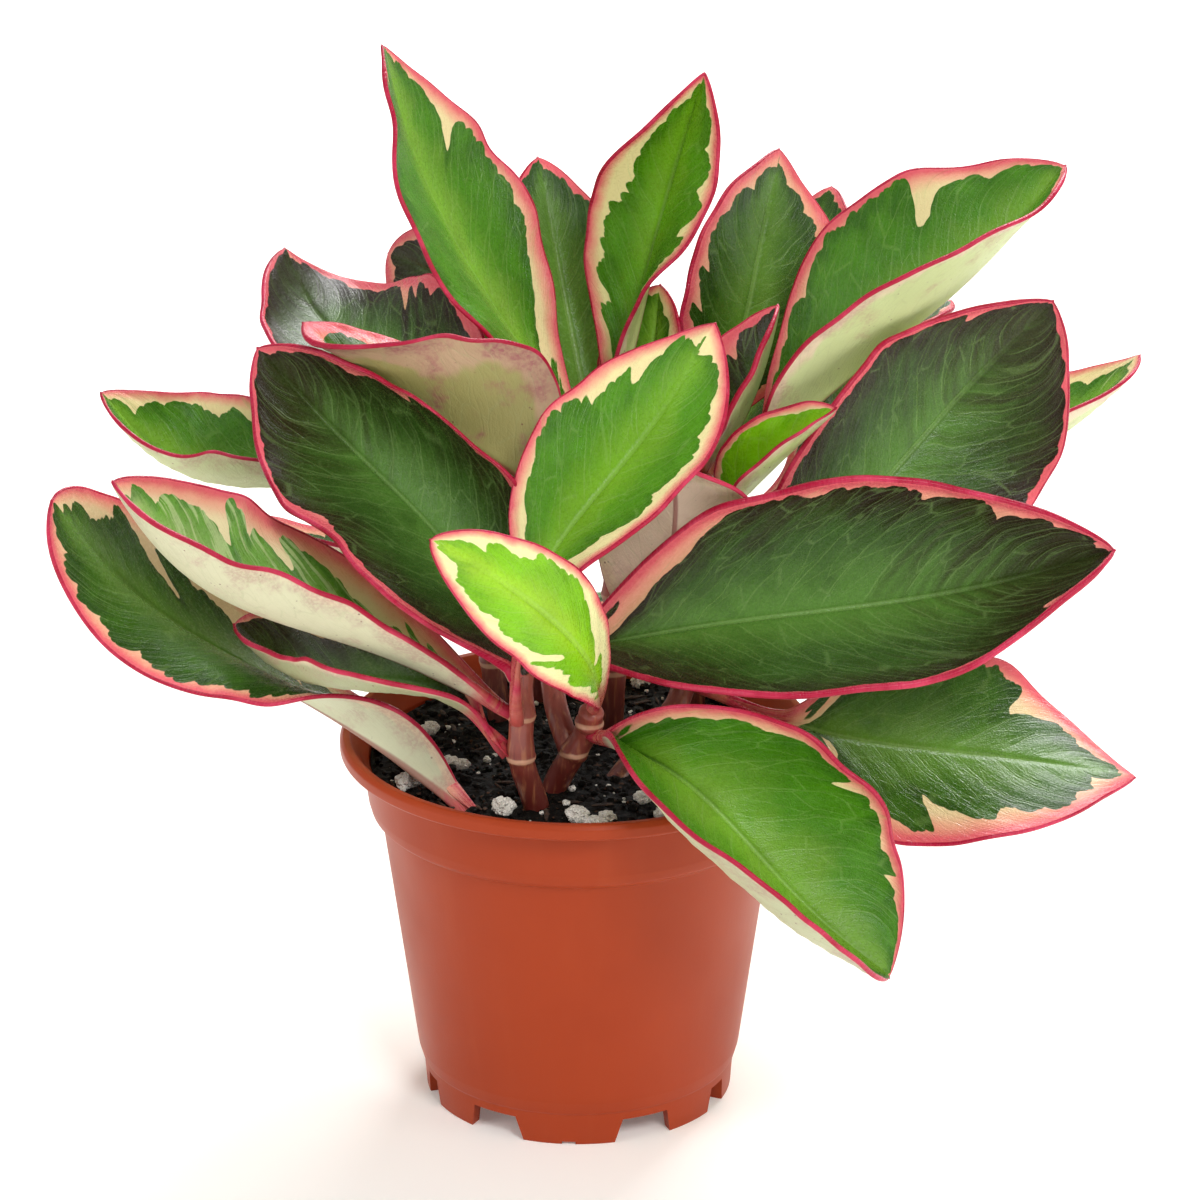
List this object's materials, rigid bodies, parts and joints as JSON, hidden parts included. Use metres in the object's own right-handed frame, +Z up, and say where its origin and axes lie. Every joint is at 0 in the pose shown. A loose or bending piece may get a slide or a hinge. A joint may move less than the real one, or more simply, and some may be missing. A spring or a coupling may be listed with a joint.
{
  "type": "ginny peperomia in a plastic nursery pot",
  "caption": "Bushy houseplant with thick pointed leaves, green with cream variegation and pink margins, on short stems in a terracotta-coloured plastic nursery pot filled with soil.",
  "frame": {"origin": "on the pot's axis at the level its feet stand on, at the middle of the whole plant's outline seen from above", "axes": "+Z up along the pot's axis, -Y towards the front of the plant, +X to the right seen from the front"},
  "size_m": [0.2457, 0.1684, 0.2332],
  "materials": {
    "pot_plastic": "smooth thermoformed plastic, slightly glossy",
    "soil": "moist dark peat with white perlite",
    "stem": "smooth reddish-brown fleshy skin",
    "leaf": "thick glossy leaf, green with cream patches and a pink margin"
  },
  "bodies": {
    "root": {"pot": "pot_plastic", "soil": "soil", "stem_front": "stem", "stem_front_left": "stem", "stem_right": "stem", "stem_centre_back": "stem", "stem_left_back": "stem", "stem_right_back": "stem", "stem_back": "stem", "leaf_top_left_tall": "leaf", "leaf_top_dark_behind": "leaf", "leaf_top_centre_upright": "leaf", "leaf_top_small_behind": "leaf", "leaf_top_right_dark": "leaf", "leaf_upper_right_folded": "leaf", "leaf_back_top_right": "leaf", "leaf_back_right": "leaf", "leaf_right_dark_broad": "leaf", "leaf_right_young": "leaf", "leaf_centre_dark_narrow": "leaf", "leaf_far_right": "leaf", "leaf_right_broad": "leaf", "leaf_lower_right": "leaf", "leaf_front_right_drooping": "leaf", "leaf_centre_light": "leaf", "leaf_front_small": "leaf", "leaf_left_glossy_broad": "leaf", "leaf_left_folded": "leaf", "leaf_lower_left": "leaf", "leaf_left_dark_narrow": "leaf", "leaf_far_left": "leaf", "leaf_upper_left_dark": "leaf", "leaf_upper_left_turned": "leaf", "leaf_back_top_left": "leaf", "leaf_centre_underside": "leaf", "leaf_rear_left_low": "leaf", "leaf_rear_low": "leaf", "leaf_rear_right_low": "leaf", "leaf_rear_left_middle": "leaf", "leaf_rear_middle": "leaf", "leaf_left_low_behind": "leaf"}
  },
  "joints": []
}
